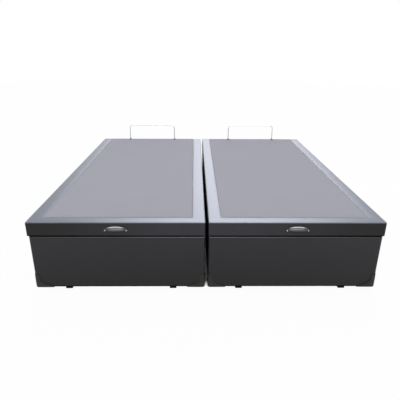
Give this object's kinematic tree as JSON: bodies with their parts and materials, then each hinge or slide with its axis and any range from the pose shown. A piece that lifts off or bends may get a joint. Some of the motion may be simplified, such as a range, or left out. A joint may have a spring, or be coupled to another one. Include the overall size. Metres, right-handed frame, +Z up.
{
  "type": "ottoman bed",
  "caption": "Split king-size ottoman bed base: upholstered storage chests with padded lift-up lids on gas struts, cup handles at the foot end and bent metal mattress stops at the head end.",
  "frame": {"origin": "on the floor, at the centre of the whole bed's box seen from above", "axes": "+Z up, +Y from the foot end (handles) to the head end (hinges and mattress bars), +X to the right seen from the foot end"},
  "size_m": [1.947, 2.0618, 0.5928],
  "materials": {
    "dark_leather": "fine-grained charcoal synthetic leather, satin",
    "border_leather": "smooth silver-grey synthetic leather, satin",
    "deck_fabric": "grey non-woven deck fabric bonded to foam, matte",
    "pine": "planed pine",
    "chest_board": "raw particle board",
    "hardboard": "smooth brown hardboard",
    "black_plastic": "moulded black plastic, semi-matte",
    "satin_nickel": "satin nickel",
    "chrome": "polished chrome plate",
    "zinc_steel": "zinc-plated steel",
    "black_steel": "gloss black paint"
  },
  "bodies": {
    "base": {"left_base_side_inner": "chest_board", "left_base_side_outer": "chest_board", "left_base_head_board": "chest_board", "left_base_foot_board": "chest_board", "left_floor_panel": "hardboard", "left_base_cover": "dark_leather", "left_corner_guard_inner": "black_plastic", "left_corner_guard_outer": "black_plastic", "left_foot_front_inner": "black_plastic", "left_foot_front_outer": "black_plastic", "left_foot_rear_inner": "black_plastic", "left_foot_rear_outer": "black_plastic", "left_hinge_base_leaf": "zinc_steel", "left_hinge_pin": "zinc_steel", "left_strut_base_bracket_inner": "zinc_steel", "left_strut_base_bracket_outer": "zinc_steel", "right_base_side_inner": "chest_board", "right_base_side_outer": "chest_board", "right_base_head_board": "chest_board", "right_base_foot_board": "chest_board", "right_floor_panel": "hardboard", "right_base_cover": "dark_leather", "right_corner_guard_inner": "black_plastic", "right_corner_guard_outer": "black_plastic", "right_foot_front_inner": "black_plastic", "right_foot_front_outer": "black_plastic", "right_foot_rear_inner": "black_plastic", "right_foot_rear_outer": "black_plastic", "right_hinge_base_leaf": "zinc_steel", "right_hinge_pin": "zinc_steel", "right_strut_base_bracket_inner": "zinc_steel", "right_strut_base_bracket_outer": "zinc_steel"},
    "left_lid": {"left_lid_frame": "pine", "left_lid_board": "hardboard", "left_lid_pad": "deck_fabric", "left_lid_border": "border_leather", "left_lid_band": "dark_leather", "left_handle": "satin_nickel", "left_mattress_bar": "chrome", "left_hinge_lid_leaf": "zinc_steel", "left_strut_lid_bracket_inner": "zinc_steel", "left_strut_lid_bracket_outer": "zinc_steel"},
    "right_lid": {"right_lid_frame": "pine", "right_lid_board": "hardboard", "right_lid_pad": "deck_fabric", "right_lid_border": "border_leather", "right_lid_band": "dark_leather", "right_handle": "satin_nickel", "right_mattress_bar": "chrome", "right_hinge_lid_leaf": "zinc_steel", "right_strut_lid_bracket_inner": "zinc_steel", "right_strut_lid_bracket_outer": "zinc_steel"},
    "left_inner_rod": {"left_strut_rod_inner": "zinc_steel"},
    "left_inner_cylinder": {"left_strut_cylinder_inner": "black_steel"},
    "left_outer_rod": {"left_strut_rod_outer": "zinc_steel"},
    "left_outer_cylinder": {"left_strut_cylinder_outer": "black_steel"},
    "right_inner_rod": {"right_strut_rod_inner": "zinc_steel"},
    "right_inner_cylinder": {"right_strut_cylinder_inner": "black_steel"},
    "right_outer_rod": {"right_strut_rod_outer": "zinc_steel"},
    "right_outer_cylinder": {"right_strut_cylinder_outer": "black_steel"}
  },
  "joints": [
    {"name": "left_lid_hinge", "type": "hinge", "parent": "base", "child": "left_lid", "pos_m": [-0.491, 1.02605, 0.365], "axis": [-1, 0, 0], "range_deg": [0, 38]},
    {"name": "right_lid_hinge", "type": "hinge", "parent": "base", "child": "right_lid", "pos_m": [0.491, 1.02605, 0.365], "axis": [-1, 0, 0], "range_deg": [0, 38]},
    {"name": "left_inner_strut_swing", "type": "hinge", "parent": "base", "child": "left_inner_rod", "pos_m": [-0.0648, 0.83705, 0.156], "axis": [-1, 0, 0], "range_deg": [0, 19.1]},
    {"name": "left_inner_strut_slide", "type": "slide", "parent": "left_inner_rod", "child": "left_inner_cylinder", "axis": [0, -0.3606, 0.9327], "range_m": [0, 0.1531]},
    {"name": "left_outer_strut_swing", "type": "hinge", "parent": "base", "child": "left_outer_rod", "pos_m": [-0.9172, 0.83705, 0.156], "axis": [-1, 0, 0], "range_deg": [0, 19.1]},
    {"name": "left_outer_strut_slide", "type": "slide", "parent": "left_outer_rod", "child": "left_outer_cylinder", "axis": [0, -0.3606, 0.9327], "range_m": [0, 0.1531]},
    {"name": "right_inner_strut_swing", "type": "hinge", "parent": "base", "child": "right_inner_rod", "pos_m": [0.0648, 0.83705, 0.156], "axis": [-1, 0, 0], "range_deg": [0, 19.1]},
    {"name": "right_inner_strut_slide", "type": "slide", "parent": "right_inner_rod", "child": "right_inner_cylinder", "axis": [0, -0.3606, 0.9327], "range_m": [0, 0.1531]},
    {"name": "right_outer_strut_swing", "type": "hinge", "parent": "base", "child": "right_outer_rod", "pos_m": [0.9172, 0.83705, 0.156], "axis": [-1, 0, 0], "range_deg": [0, 19.1]},
    {"name": "right_outer_strut_slide", "type": "slide", "parent": "right_outer_rod", "child": "right_outer_cylinder", "axis": [0, -0.3606, 0.9327], "range_m": [0, 0.1531]}
  ],
  "couplings": [
    {"joint": "left_inner_strut_swing", "follows": "left_lid_hinge", "ratio": 0.50201},
    {"joint": "left_inner_strut_slide", "follows": "left_lid_hinge", "m_per_rad": 0.23079},
    {"joint": "left_outer_strut_swing", "follows": "left_lid_hinge", "ratio": 0.50201},
    {"joint": "left_outer_strut_slide", "follows": "left_lid_hinge", "m_per_rad": 0.23079},
    {"joint": "right_inner_strut_swing", "follows": "right_lid_hinge", "ratio": 0.50201},
    {"joint": "right_inner_strut_slide", "follows": "right_lid_hinge", "m_per_rad": 0.23079},
    {"joint": "right_outer_strut_swing", "follows": "right_lid_hinge", "ratio": 0.50201},
    {"joint": "right_outer_strut_slide", "follows": "right_lid_hinge", "m_per_rad": 0.23079}
  ]
}
